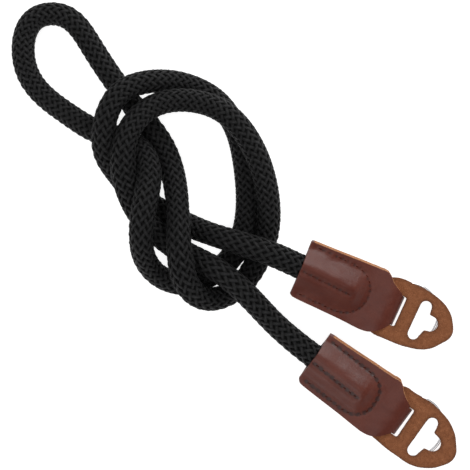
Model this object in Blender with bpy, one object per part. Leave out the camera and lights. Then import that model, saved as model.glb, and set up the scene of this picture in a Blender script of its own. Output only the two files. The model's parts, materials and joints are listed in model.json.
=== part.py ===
"""Rope neck strap for a camera, knotted once and lying on a table.

One braided rope is doubled and tied in a loose overhand knot. Each end of the
rope is sewn into a folded leather cover. The cover's fold holds a leather pad
and a split ring. Units are metres, +Z is up, and the table is at z = 0.
"""

import bmesh
import bpy
import numpy as np
from math import cos, pi, radians, sin, tan
from mathutils import Euler, Matrix, Vector

MM = 0.001

# Rope
ROPE_D = 10.0 * MM
ROPE_SIDES_RESOLUTION = 4
ROPE_POINTS = 80
ROPE_BEND_WEIGHT = 14.0 * MM  # how much closer the tube's points lie where the rope bends
ROPE_IN_COVER = 25.0 * MM

# Leather
LEATHER = 1.4 * MM
PAD_T = 1.5 * MM
GAP = 0.3 * MM  # left between pieces that touch
POCKET_GAP = 0.4 * MM  # round the rope inside its cover

# Leather cover
COVER_L = 46.0 * MM
SHOULDER_HALF = 14.25 * MM
BULGE_HALF = 10.4 * MM  # from the rope's axis out to the side seams
COVER_COLUMNS = 25
STACK_START = 28.0 * MM  # where the two plies begin to part for the pad and the ring
STACK_FULL = 35.0 * MM
NOSE_DROP = 2.2 * MM
NOSE_RISE = 1.6 * MM

# The cover's sections. along is a share of COVER_L, left and right are shares
# of SHOULDER_HALF, bulge is a share of the rope's swelling, and nose is how far
# the fold has closed.
COVER_SECTIONS = (
    # along, left, right, bulge, nose
    (0.000, 0.865, 0.865, 1.00, 0.00),
    (0.080, 0.885, 0.885, 1.00, 0.00),
    (0.280, 0.925, 0.925, 1.00, 0.00),
    (0.480, 0.965, 0.960, 1.00, 0.00),
    (0.560, 0.980, 0.975, 0.95, 0.00),
    (0.610, 0.985, 0.985, 0.70, 0.00),
    (0.645, 0.990, 0.990, 0.35, 0.00),
    (0.680, 0.995, 0.995, 0.08, 0.00),
    (0.720, 1.000, 1.000, 0.00, 0.00),
    (0.765, 0.965, 0.975, 0.00, 0.00),
    (0.800, 0.880, 0.950, 0.00, 0.00),
    (0.835, 0.765, 0.910, 0.00, 0.00),
    (0.870, 0.690, 0.840, 0.00, 0.00),
    (0.905, 0.630, 0.740, 0.00, 0.00),
    (0.935, 0.560, 0.600, 0.00, 0.05),
    (0.955, 0.480, 0.480, 0.00, 0.15),
    (0.980, 0.475, 0.475, 0.00, 0.45),
    (1.000, 0.470, 0.470, 0.00, 1.00),
)

# Pad, measured from the middle of its slit
SLIT_FROM_NOSE = 0.7 * MM
PAD_HALF = 13.9 * MM
PAD_FRONT = 26.6 * MM
PAD_BACK = 14.0 * MM
PAD_SIDE_FRONT = 8.2 * MM
PAD_SIDE_BACK = 8.0 * MM
PAD_FRONT_POWER = 1.55
PAD_BACK_POWER = 2.6
SLIT_BEHIND = 2.7 * MM
SLIT_AHEAD = 0.7 * MM
SLIT_HALF = 6.95 * MM
HOLE_BAR_BACK = 7.2 * MM
HOLE_BAR_WIDE = 5.4 * MM
HOLE_BAR_HALF = 9.2 * MM
HOLE_LOBE_HALF = 3.3 * MM
HOLE_LOBE_TIP = 18.8 * MM
ARC_STEPS = 12

# Split ring
RING_OD = 28.0 * MM
RING_WIRE = 1.2 * MM
RING_PITCH = 1.25 * MM
RING_AHEAD = 4.7 * MM  # of the slit's middle
RING_ASIDE = 0.9 * MM
RING_STEP_TURN = radians(30)
RING_START = radians(205)
RING_POINTS_PER_TURN = 28

# How the strap lies: the route's own axes, x to the right and y away, are
# turned by this to bring the mean of the two ends along +X. The part's origin
# is on the table, in the middle of the leather ends' box.
LAY_TURN = radians(30.5)
MIDDLE_OF_ENDS = (-1.3 * MM, 0.4 * MM)

# For each end: where the cover's mouth is, its heading, how steeply the rope
# climbs out of it, and how far the pad has swung on the fold.
ENDS = {
    # name: x, y and height of the mouth, heading, climb, pad turn
    "a": ((-35.7 * MM, 38.2 * MM, 12.3 * MM), radians(-24.5), radians(10.5), radians(0.0)),
    "b": ((-29.1 * MM, -1.8 * MM, 6.9 * MM), radians(-36.6), radians(0.0), radians(2.4)),
}

# The rope's route between the two mouths, in millimetres in the route's own
# axes, with the rope's girth as a share of ROPE_D where a crossing presses it.
ROUTE = (
    # x, y, z, girth
    (-50.0, 44.5, 16.2, 0.97),
    (-62.2, 48.6, 16.3, 0.97),
    (-73.6, 52.2, 12.7, 1.00),
    (-85.0, 56.5, 6.3, 0.96),
    (-97.0, 62.5, 5.1, 0.92),
    (-107.5, 69.5, 4.8, 0.88),
    (-115.5, 78.5, 5.6, 0.90),
    (-121.5, 88.5, 12.5, 0.95),
    (-122.0, 96.5, 16.2, 0.98),
    (-114.5, 114.0, 16.2, 1.00),
    (-102.0, 119.2, 12.0, 1.00),
    (-86.9, 118.5, 6.2, 1.00),
    (-73.8, 111.7, 5.2, 0.97),
    (-64.4, 98.1, 5.1, 1.00),
    (-60.9, 83.0, 5.1, 1.00),
    (-60.0, 61.0, 5.1, 0.98),
    (-65.0, 45.1, 5.1, 0.96),
    (-75.4, 35.2, 5.1, 0.98),
    (-85.8, 31.3, 5.1, 0.95),
    (-96.2, 33.2, 6.0, 1.00),
    (-103.8, 41.3, 12.8, 1.00),
    (-105.5, 51.5, 20.6, 0.97),
    (-104.5, 61.5, 22.6, 0.92),
    (-102.3, 75.0, 18.6, 0.92),
    (-104.0, 86.0, 12.1, 0.95),
    (-110.5, 93.0, 6.3, 0.97),
    (-123.0, 97.0, 5.0, 0.95),
    (-139.4, 106.2, 5.1, 1.00),
    (-153.8, 119.1, 5.1, 1.00),
    (-158.3, 133.5, 5.1, 1.00),
    (-153.0, 147.5, 5.1, 1.00),
    (-141.0, 149.0, 5.1, 1.00),
    (-128.7, 136.2, 5.1, 1.00),
    (-118.2, 120.2, 5.1, 1.00),
    (-107.8, 106.7, 5.3, 1.00),
    (-96.7, 91.2, 5.3, 0.95),
    (-91.9, 77.5, 9.5, 0.95),
    (-89.7, 61.0, 17.0, 1.00),
    (-88.8, 44.0, 22.0, 0.90),
    (-85.4, 30.6, 17.9, 0.90),
    (-76.3, 24.5, 10.4, 0.96),
    (-64.4, 28.8, 5.5, 1.00),
    (-55.3, 41.1, 5.6, 0.94),
    (-50.7, 55.5, 7.7, 0.97),
    (-51.2, 72.0, 12.3, 1.00),
    (-58.5, 92.5, 16.1, 1.00),
    (-69.9, 105.5, 15.9, 1.00),
    (-85.2, 110.7, 14.8, 1.00),
    (-100.0, 108.5, 14.8, 1.00),
    (-111.0, 97.0, 17.9, 0.97),
    (-113.5, 83.5, 17.4, 0.90),
    (-111.5, 72.5, 14.3, 0.88),
    (-106.0, 61.0, 12.5, 0.90),
    (-96.5, 51.0, 10.6, 0.95),
    (-87.0, 44.5, 10.0, 0.93),
    (-73.8, 37.9, 16.5, 0.96),
    (-61.7, 28.3, 15.8, 0.97),
    (-46.5, 12.5, 8.6, 1.00),
)

# Worked out from the sizes above
POCKET_R = ROPE_D / 2 + POCKET_GAP
SLIT_U = COVER_L + SLIT_FROM_NOSE
RING_R = (RING_OD - RING_WIRE) / 2
RING_T = RING_PITCH + RING_WIRE
RING_BACK_Z = LEATHER + GAP + RING_T / 2
RING_FRONT_Z = RING_T / 2 + GAP / 4
PITCH_SLOPE = (RING_BACK_Z - RING_FRONT_Z) / (2 * RING_R)
PITCH = np.arctan(PITCH_SLOPE)  # the pad and the ring dip this much towards the tip
RING_Z = RING_BACK_Z - PITCH_SLOPE * (RING_R - RING_AHEAD)  # under the slit's middle
PAD_Z = RING_Z + (RING_T / 2 + GAP + PAD_T / 2) / cos(PITCH)


def material(name, colour, roughness, metallic=0.0):
    made = bpy.data.materials.new(name)
    made.use_nodes = True
    shader = made.node_tree.nodes["Principled BSDF"]
    shader.inputs["Base Color"].default_value = (*colour, 1.0)
    shader.inputs["Roughness"].default_value = roughness
    shader.inputs["Metallic"].default_value = metallic
    return made


def add_object(name, data, collection, parent, finish=None):
    made = bpy.data.objects.new(name, data)
    collection.objects.link(made)
    made.parent = parent
    if finish:
        data.materials.append(finish)
    return made


def add_empty(name, collection, parent=None):
    made = bpy.data.objects.new(name, None)
    collection.objects.link(made)
    made.parent = parent
    return made


def smoothstep(start, end, value):
    share = min(max((value - start) / (end - start), 0.0), 1.0)
    return share * share * (3 - 2 * share)


def cap(made, ring):
    """Closes a loop that runs out and back, pairing its points across it."""
    half = len(ring) // 2
    for i in range(half - 1):
        made.faces.new((ring[i], ring[i + 1], ring[-2 - i], ring[-1 - i]))


def loft(name, loops):
    """A closed body through loops of equally many points, each running out and back."""
    made = bmesh.new()
    rings = [[made.verts.new(point) for point in loop] for loop in loops]
    for ring, following in zip(rings, rings[1:]):
        for i in range(len(ring)):
            j = (i + 1) % len(ring)
            made.faces.new((ring[i], ring[j], following[j], following[i]))
    cap(made, rings[0])
    cap(made, rings[-1])
    bmesh.ops.triangulate(made, faces=made.faces[:])
    bmesh.ops.recalc_face_normals(made, faces=made.faces[:])
    mesh = bpy.data.meshes.new(name)
    made.to_mesh(mesh)
    made.free()
    return mesh


def pad_height(u):
    """Height of the pad's middle plane at a distance u from the cover's mouth."""
    return PAD_Z - PITCH_SLOPE * (u - SLIT_U)


def cover_section(end, along, left, right, bulge, nose):
    """One loop round the cover, across the top and back along the underside."""
    mouth, _, climb, _ = ENDS[end]
    u = along * COVER_L
    seam = mouth[2] - tan(climb) * min(u, STACK_START)
    parted = smoothstep(STACK_START, STACK_FULL, u)
    stack_top = pad_height(u) + PAD_T / 2 + GAP + LEATHER
    top = (1 - parted) * (seam + LEATHER) + parted * stack_top - nose * NOSE_DROP
    under = (1 - parted) * (seam - LEATHER) + nose * NOSE_RISE
    upper, lower = [], []
    for v in np.linspace(-right * SHOULDER_HALF, left * SHOULDER_HALF, COVER_COLUMNS):
        swell = 0.0
        if abs(v) < BULGE_HALF:
            swell = bulge * POCKET_R * cos(pi / 2 * v / BULGE_HALF) ** 2
        upper.append((u, v, top + swell))
        lower.append((u, v, under - swell))
    return upper + lower[::-1]


def rope_line(end, depth):
    """A point on the rope's straight stretch in its cover, this deep past the mouth."""
    mouth, _, climb, _ = ENDS[end]
    return Vector((depth * cos(climb), 0.0, mouth[2] - depth * sin(climb)))


def pocket_cutter(end, cutters, parent):
    """The rope's pocket, from outside the mouth to just past the rope's end."""
    climb = ENDS[end][2]
    start = -ROPE_D
    depth = ROPE_IN_COVER + 2 * GAP
    made = bmesh.new()
    bmesh.ops.create_cone(
        made, cap_ends=True, segments=24, radius1=POCKET_R, radius2=POCKET_R, depth=depth - start
    )
    turn = Euler((0.0, pi / 2 + climb, 0.0)).to_matrix().to_4x4()
    middle = Matrix.Translation(rope_line(end, (start + depth) / 2))
    bmesh.ops.transform(made, matrix=middle @ turn, verts=made.verts[:])
    mesh = bpy.data.meshes.new("cut_pocket_" + end)
    made.to_mesh(mesh)
    made.free()
    return add_object("cut_pocket_" + end, mesh, cutters, parent)


def fold_cutter(end, cutters, parent):
    """The space between the plies, where the pad's back bar and the ring lie."""
    def roof(u):
        return pad_height(u) + PAD_T / 2 + GAP

    back = SLIT_U - PAD_BACK - GAP
    ring_back = SLIT_U + RING_AHEAD - RING_OD / 2 - GAP
    front = COVER_L - LEATHER
    profile = (
        (back - LEATHER / 2, pad_height(back) + GAP),
        (back, roof(back)),
        (ring_back, roof(ring_back)),
        (front, roof(front)),
        (front, LEATHER + NOSE_RISE / 2),
        (front - LEATHER, LEATHER),
        (ring_back - LEATHER, LEATHER),
        (back - LEATHER / 2, pad_height(back) - GAP),
    )
    sides = [[(u, side, w) for u, w in profile] for side in (-SHOULDER_HALF * 2, SHOULDER_HALF * 2)]
    return add_object("cut_fold_" + end, loft("cut_fold_" + end, sides), cutters, parent)


def make_cover(end, parts, cutters, parent, finish):
    loops = [cover_section(end, *row) for row in COVER_SECTIONS]
    cover = add_object("cover_" + end, loft("cover_" + end, loops), parts, parent, finish)
    for cutter in (pocket_cutter(end, cutters, parent), fold_cutter(end, cutters, parent)):
        cutter.hide_render = True
        cutter.display_type = "WIRE"
        cut = cover.modifiers.new(cutter.name, "BOOLEAN")
        cut.operation = "DIFFERENCE"
        cut.solver = "EXACT"
        cut.object = cutter
    return cover


def arc(centre, radius, start, end, steps=ARC_STEPS):
    angles = np.linspace(start, end, steps)
    return [(centre[0] + radius * cos(a), centre[1] + radius * sin(a)) for a in angles]


def superellipse_corner(start_u, reach, power, angles):
    """Points of a rounded end whose half width is PAD_HALF."""
    points = []
    for angle in angles:
        across, onward = cos(angle), sin(angle)
        scale = (abs(across) ** power + abs(onward) ** power) ** (-1 / power)
        points.append((start_u + reach * onward * scale, -PAD_HALF * across * scale))
    return points


def pad_outline():
    front = superellipse_corner(
        PAD_SIDE_FRONT, PAD_FRONT - PAD_SIDE_FRONT, PAD_FRONT_POWER, np.linspace(0, pi, 33)
    )
    back = superellipse_corner(
        -PAD_SIDE_BACK, PAD_BACK - PAD_SIDE_BACK, PAD_BACK_POWER, np.linspace(pi, 2 * pi, 21)
    )
    return front + back


def slit_outline():
    radius = (SLIT_AHEAD + SLIT_BEHIND) / 4
    ends = (
        ((SLIT_AHEAD - radius, SLIT_HALF - radius), 0.0),
        ((radius - SLIT_BEHIND, SLIT_HALF - radius), pi / 2),
        ((radius - SLIT_BEHIND, radius - SLIT_HALF), pi),
        ((SLIT_AHEAD - radius, radius - SLIT_HALF), 3 * pi / 2),
    )
    points = []
    for centre, start in ends:
        points += arc(centre, radius, start, start + pi / 2, 5)
    return points


def hole_outline():
    """The T-shaped hole: a cross bar with round ends and a lobe towards the tip."""
    radius = HOLE_BAR_WIDE / 2
    bar_u = HOLE_BAR_BACK + radius
    end_v = HOLE_BAR_HALF - radius
    tip_u = HOLE_LOBE_TIP - HOLE_LOBE_HALF
    points = arc((tip_u, 0.0), HOLE_LOBE_HALF, -pi / 2, pi / 2)
    points += arc((bar_u, end_v), radius, 0.0, pi)
    points += arc((bar_u, -end_v), radius, pi, 2 * pi)
    corner = bar_u + radius
    points.insert(ARC_STEPS, (corner, HOLE_LOBE_HALF))
    points.append((corner, -HOLE_LOBE_HALF))
    return points


def make_pad(end, parts, parent, finish):
    curve = bpy.data.curves.new("pad_" + end, "CURVE")
    curve.dimensions = "2D"
    curve.fill_mode = "BOTH"
    curve.extrude = PAD_T / 2
    for outline in (pad_outline(), slit_outline(), hole_outline()):
        spline = curve.splines.new("POLY")
        spline.points.add(len(outline) - 1)
        for point, (u, v) in zip(spline.points, outline):
            point.co = (u, v, 0.0, 1.0)
        spline.use_cyclic_u = True
    pad = add_object("pad_" + end, curve, parts, parent, finish)
    pad.location = (SLIT_U, 0.0, PAD_Z)
    pad.rotation_euler = Euler((0.0, PITCH, ENDS[end][3]))
    return pad


def ring_point(turned):
    """A point of the split ring's wire, which goes round twice and steps up once."""
    first_turn = 2 * pi - RING_STEP_TURN
    rise = smoothstep(first_turn, 2 * pi, turned) - 0.5
    angle = RING_START + turned
    return (RING_R * cos(angle), RING_R * sin(angle), RING_PITCH * rise)


def make_ring(end, parts, parent, finish):
    curve = bpy.data.curves.new("ring_" + end, "CURVE")
    curve.dimensions = "3D"
    curve.bevel_depth = RING_WIRE / 2
    curve.bevel_resolution = 2
    curve.use_fill_caps = True
    whole = 4 * pi - RING_STEP_TURN - 2 * GAP / RING_R
    turns = np.linspace(0.0, whole, 2 * RING_POINTS_PER_TURN)
    spline = curve.splines.new("POLY")
    spline.points.add(len(turns) - 1)
    for point, turned in zip(spline.points, turns):
        point.co = (*ring_point(turned), 1.0)
    ring = add_object("ring_" + end, curve, parts, parent, finish)
    swing = ENDS[end][3]
    ring.location = (
        SLIT_U + RING_AHEAD * cos(swing) - RING_ASIDE * sin(swing),
        RING_AHEAD * sin(swing) + RING_ASIDE * cos(swing),
        RING_Z - PITCH_SLOPE * RING_AHEAD,
    )
    ring.rotation_euler = Euler((0.0, PITCH, swing))
    return ring


def end_matrix(end):
    """An end's place in the route's axes: its mouth over the table, and its heading."""
    mouth, heading, _, _ = ENDS[end]
    return Matrix.Translation((mouth[0], mouth[1], 0.0)) @ Matrix.Rotation(heading, 4, "Z")


def rope_stations():
    """The route's points in metres with the stretches inside the two covers."""
    depths = (ROPE_IN_COVER, ROPE_IN_COVER / 2, 0.0)
    into_a = [(*(end_matrix("a") @ rope_line("a", depth)), 1.0) for depth in depths]
    into_b = [(*(end_matrix("b") @ rope_line("b", depth)), 1.0) for depth in depths[::-1]]
    free = [(x * MM, y * MM, z * MM, girth) for x, y, z, girth in ROUTE]
    return np.array(into_a + free + into_b)


def natural_spline(stations, samples):
    """Points on the smooth curve through the stations, in even steps of its chords."""
    chords = np.linalg.norm(np.diff(stations[:, :3], axis=0), axis=1)
    knots = np.concatenate([[0.0], np.cumsum(chords)])
    count = len(stations)
    system = np.eye(count)
    wanted = np.zeros_like(stations)
    for i in range(1, count - 1):
        before, after = chords[i - 1], chords[i]
        system[i, i - 1 : i + 2] = before, 2 * (before + after), after
        slope_after = (stations[i + 1] - stations[i]) / after
        slope_before = (stations[i] - stations[i - 1]) / before
        wanted[i] = 6 * (slope_after - slope_before)
    bends = np.linalg.solve(system, wanted)
    places = np.linspace(0.0, knots[-1], samples)
    span = np.clip(np.searchsorted(knots, places, side="right") - 1, 0, count - 2)
    chord = chords[span][:, None]
    to_next = (knots[span + 1] - places)[:, None]
    from_last = (places - knots[span])[:, None]
    return (
        bends[span] * to_next**3 / (6 * chord)
        + bends[span + 1] * from_last**3 / (6 * chord)
        + (stations[span] / chord - bends[span] * chord / 6) * to_next
        + (stations[span + 1] / chord - bends[span + 1] * chord / 6) * from_last
    )


def rope_tube_points():
    """The tube's points, closer together where the rope bends."""
    fine = natural_spline(rope_stations(), 1200)
    steps = np.linalg.norm(np.diff(fine[:, :3], axis=0), axis=1)
    length = np.concatenate([[0.0], np.cumsum(steps)])
    heading = np.gradient(fine[:, :3], length, axis=0)
    bend = np.linalg.norm(np.gradient(heading, length, axis=0), axis=1)
    weight = np.concatenate([[0.0], np.cumsum((1 + ROPE_BEND_WEIGHT * bend[:-1]) * steps)])
    chosen = np.interp(np.linspace(0.0, weight[-1], ROPE_POINTS), weight, length)
    return np.stack([np.interp(chosen, length, fine[:, k]) for k in range(4)], axis=1)


def make_rope(parts, parent, finish):
    curve = bpy.data.curves.new("rope", "CURVE")
    curve.dimensions = "3D"
    curve.bevel_depth = ROPE_D / 2
    curve.bevel_resolution = ROPE_SIDES_RESOLUTION
    curve.use_fill_caps = True
    points = rope_tube_points()
    spline = curve.splines.new("POLY")
    spline.points.add(len(points) - 1)
    for point, (x, y, z, girth) in zip(spline.points, points):
        point.co = (x, y, z, 1.0)
        point.radius = girth
    return add_object("rope", curve, parts, parent, finish)


def main():
    for old in list(bpy.data.objects):
        bpy.data.objects.remove(old)
    parts = bpy.data.collections.new("neck_strap")
    cutters = bpy.data.collections.new("cutters")
    for collection in (parts, cutters):
        bpy.context.scene.collection.children.link(collection)
    rope_black = material("rope_black", (0.012, 0.012, 0.013), 0.75)
    cover_brown = material("cover_brown", (0.080, 0.030, 0.022), 0.35)
    pad_tan = material("pad_tan", (0.210, 0.085, 0.035), 0.85)
    ring_steel = material("ring_steel", (0.80, 0.80, 0.82), 0.15, metallic=1.0)
    strap = add_empty("strap", parts)
    to_middle = Matrix.Translation((-MIDDLE_OF_ENDS[0], -MIDDLE_OF_ENDS[1], 0.0))
    strap.matrix_world = Matrix.Rotation(LAY_TURN, 4, "Z") @ to_middle
    make_rope(parts, strap, rope_black)
    for end in ENDS:
        holder = add_empty("end_" + end, parts, strap)
        holder.matrix_local = end_matrix(end)
        make_cover(end, parts, cutters, holder, cover_brown)
        make_pad(end, parts, holder, pad_tan)
        make_ring(end, parts, holder, ring_steel)


main()
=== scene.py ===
"""The looks of a camera's neck strap, lying on a pale floor.

One black braided rope is doubled and tied in a loose overhand knot. Each end is
sewn into a folded brown leather cover, which holds a suede pad and a split ring.
Units are metres, +Z is up and the floor is at z = 0.
"""

import json
from math import cos, exp, pi, radians, sin, tan, tau

import bmesh
import bpy
import numpy as np
from mathutils import Euler, Matrix, Vector, noise
from mathutils.kdtree import KDTree

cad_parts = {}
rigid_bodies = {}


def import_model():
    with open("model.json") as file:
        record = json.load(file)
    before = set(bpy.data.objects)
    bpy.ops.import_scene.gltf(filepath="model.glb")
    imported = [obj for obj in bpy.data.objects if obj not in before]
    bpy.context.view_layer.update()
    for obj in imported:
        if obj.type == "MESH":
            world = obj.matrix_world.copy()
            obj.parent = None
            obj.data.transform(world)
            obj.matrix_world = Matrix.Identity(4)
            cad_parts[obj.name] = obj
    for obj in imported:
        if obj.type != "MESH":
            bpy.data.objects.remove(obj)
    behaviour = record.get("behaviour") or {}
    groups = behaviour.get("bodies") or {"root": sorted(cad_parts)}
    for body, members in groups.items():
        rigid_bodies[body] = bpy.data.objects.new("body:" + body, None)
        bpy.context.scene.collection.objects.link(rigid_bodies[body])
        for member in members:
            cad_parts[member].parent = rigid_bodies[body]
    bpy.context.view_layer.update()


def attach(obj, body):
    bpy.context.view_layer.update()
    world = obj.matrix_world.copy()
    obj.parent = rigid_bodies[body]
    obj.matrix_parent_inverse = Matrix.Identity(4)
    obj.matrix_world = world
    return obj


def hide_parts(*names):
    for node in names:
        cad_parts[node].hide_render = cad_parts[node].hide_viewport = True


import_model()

MM = 0.001
ROOT = "root"
NOISE_SEED = 1  # one draw of stray stitches and nap for every run

# How the strap lies: the route's own axes are the photograph's, x to the right
# and y up. They are turned until the two ends' mean heading is along +X.
LAY_TURN = radians(30.5)
MIDDLE_OF_ENDS = Vector((-1.3 * MM, 0.4 * MM, 0.0))
LAY = Matrix.Rotation(LAY_TURN, 4, "Z") @ Matrix.Translation(-MIDDLE_OF_ENDS)

# Camera, straight above the middle of the picture
CAMERA_OVER = (-65.1 * MM, 52.4 * MM)
CAMERA_HEIGHT = 650 * MM
PICTURE_SIDE = 206.8 * MM  # what the picture takes in, at half the rope's height
SENSOR = 36.0  # in millimetres, as the lens is

# Floor and light
FLOOR_HALF = 3.0
TENT_STRENGTH = 0.75
TENT_SHADES = (
    # how high, from 0 at the horizon to 1 straight up, and how bright
    (0.00, 0.9), (0.30, 0.45), (0.70, 0.22), (0.88, 0.5), (0.97, 2.3),
)

# Rope
ROPE_D = 10.0 * MM
ROPE_IN_COVER = 25.0 * MM
CORE_R = 3.75 * MM
CORE_EVERY = 3  # the core follows every third point of the rope's line
CORE_ROUNDNESS = 3
STRANDS_EACH_WAY = 16
STRAND_POINTS = 1300
STRAND_R = 4.26 * MM  # of the strands' middles round the rope
STRAND_LIFT = 0.38 * MM  # up over two crossings and down under the next two
STRAND_SWERVE = 0.62  # steeper round the rope where it shows, as a share
STRAND_WIDTH = 1.62 * MM
STRAND_FLAT = 0.70  # thickness as a share of the width
STRAND_SIDES = 6
# Along the rope from the upper end's mouth: where it is, and there the way between
# two strands of one hand, shorter where the braid is pushed together.
PICKS = (
    (0, 3.8), (60, 3.8), (150, 3.4), (240, 3.3), (290, 3.8), (335, 3.6), (380, 3.0),
    (430, 3.1), (470, 3.4), (540, 3.8), (600, 3.8), (660, 3.5), (720, 3.1), (765, 3.6),
    (820, 3.9), (905, 3.9),
)
SHEATHS = (
    # name, hand, first strand
    ("rope_strands_left_even", 1, 0),
    ("rope_strands_left_odd", 1, 1),
    ("rope_strands_right_even", -1, 0),
    ("rope_strands_right_odd", -1, 1),
)
PRESS_SPREAD = 1.1  # how much of what a crossing presses flat goes sideways
MOUTH_SPREAD = 0.08  # wider at the covers, as a share
MOUTH_REACH = 38 * MM
COVER_PRESS = 0.32  # flatter where it is sewn in, as a share
PRESS_REACH = 7 * MM  # from the mouth to its full press

# Leather
LEATHER = 1.4 * MM
COVER_WALL = LEATHER - 0.1 * MM  # thinner on its inner side, to stay clear
PAD_T = 1.5 * MM
GAP = 0.3 * MM
EDGE_ANGLE = radians(50)  # a sharper bend than this counts as an edge

# Leather cover, measured from its mouth
COVER_L = 46.0 * MM
SHOULDER_HALF = 14.25 * MM
POCKET_R = 5.0 * MM
FLANK_SLOPE = 0.88  # of the leather drawn down from the rope to the stitches
RIDGE_R = 4.0 * MM
FOOT_R = 0.40 * MM
STACK_START = 28.0 * MM
NOSE_REACH = {"a": 47.0 * MM, "b": 47.8 * MM}
PLY_OFFSET = {"a": 0.45 * MM, "b": 0.55 * MM}  # the lower ply's stand out on the left
EDGE_SLANT = 0.50 * MM  # the left cut edges lean out this much towards the floor
EDGE_SLANT_FROM = 0.86  # of the way out to the edge
EDGE_ROUND = 0.18 * MM
LEFT_TRIM = {"a": 0.50 * MM, "b": 0.85 * MM}  # cut off the left edge
MOUTH_CORNER = {"a": 0.5 * MM, "b": 1.4 * MM}  # cut off the mouth's right corner
CORNER_REACH = 0.9 * MM
MOUTH_LIP = {"a": 0.7 * MM, "b": 1.6 * MM}  # how far the mouth's edge reaches out over the rope
MOUTH_SKEW = {"a": 0.035, "b": 0.02}  # and further on its left, as a slope
MOUTH_EDGE = 0.05 * MM  # a cut face whose middle lies before this is the mouth's
GROOVE_DEPTH = {"a": 0.8 * MM, "b": 1.0 * MM}  # along the middle row of stitches
GROOVE_HALF = {"a": 1.5 * MM, "b": 1.9 * MM}
GROOVE_UNDERSIDE = 0.5  # how deep underneath, as a share
PUCKER_DEPTH = 0.22 * MM
PUCKER_UNDERSIDE = 0.8
PUCKER_HOLE_R = 1.05 * MM
PUCKER_THREAD_R = 1.4 * MM
PUCKER_UNDER_THREAD = 0.5  # as a share of the pull at a hole
PUCKER_MOST = 1.3  # where they overlap
CREASES_ALONG = 0.16  # soft waves to a millimetre
CREASES_ACROSS = 0.30
WAVE_HEIGHT = 0.24  # in millimetres, as the wrinkles' is
WRINKLE_HEIGHT = 0.02
WRINKLES_TO_A_WAVE = 4.2
CREASE_SEED = {"a": 3.0, "b": 17.0}
FLOOR_CLEAR = 0.02 * MM  # the lowest that the leather lies
COVER_STEPS_LONG = 232
COVER_STEPS_WIDE = 84
STRIP_SAMPLES = 1600

# Where these fade out, from and to
LIP_FADE = (0.0, 8 * MM)
TRIM_FADE = (32 * MM, 37 * MM)
PUCKER_FADE = (34 * MM, 37 * MM)
OFFSET_FADE = (36 * MM, 42 * MM)
CREASE_FADE = (40 * MM, 45 * MM)
EDGE_SLANT_FADE = (44 * MM, 46 * MM)
GROOVE_FADE = (-2 * MM, 3 * MM)  # from the middle row's end

# The outer side of the cover's strip, in millimetres
FLAP_STATIONS = (0, 7, 14, 21, 27)  # along, on top
ON_PAD = (34.5, 0.3)  # along, and how far above leather that lies on the pad
FOLD_TOP = (
    # how far before the nose's tip, and how far above that leather
    (9.2, 1.0), (6.6, 0.8), (4.5, 0.25), (2.8, -0.6), (1.4, -1.75), (0.4, -3.1),
)
FOLD_UNDER = (
    # how far before the nose's tip, and how high
    (0.0, 2.6), (0.25, 1.5), (1.0, 0.65), (2.2, 0.12), (4.5, 0.03),
)
UNDER_RING = ((38.5, 0.03), (35.2, 0.25), (32.8, 1.6), (30.4, 3.9))  # along, and how high
UNDER_STATIONS = (26.5, 21, 14, 7, 0)  # along, underneath

# Split ring and pad, measured from the slit's middle
SLIT_FROM_NOSE = 0.7 * MM
RING_OD = 28.0 * MM
RING_WIRE = 1.2 * MM
RING_PITCH = 1.25 * MM
RING_AHEAD = {"a": 4.7 * MM, "b": 5.9 * MM}
RING_ASIDE = 0.9 * MM
RING_STEP_TURN = radians(30)
RING_START = radians(205)
RING_STEPS = 240
RING_ROUNDNESS = 4

# Worked out from the sizes above
SLIT_U = COVER_L + SLIT_FROM_NOSE
RING_R = (RING_OD - RING_WIRE) / 2
RING_T = RING_PITCH + RING_WIRE
RING_BACK_Z = LEATHER + GAP + RING_T / 2
RING_FRONT_Z = RING_T / 2 + GAP / 4
PITCH_SLOPE = (RING_BACK_Z - RING_FRONT_Z) / (2 * RING_R)
PITCH = np.arctan(PITCH_SLOPE)
RING_Z = RING_BACK_Z - PITCH_SLOPE * (RING_R - RING_AHEAD["a"])
PAD_Z = RING_Z + (RING_T / 2 + GAP + PAD_T / 2) / cos(PITCH)

ENDS = {
    # name: x, y and height of the mouth, heading, climb, pad turn
    "a": ((-35.7 * MM, 38.2 * MM, 12.3 * MM), radians(-24.5), radians(10.5), radians(0.0)),
    "b": ((-29.1 * MM, -1.8 * MM, 6.9 * MM), radians(-36.6), radians(0.0), radians(2.4)),
}

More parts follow.
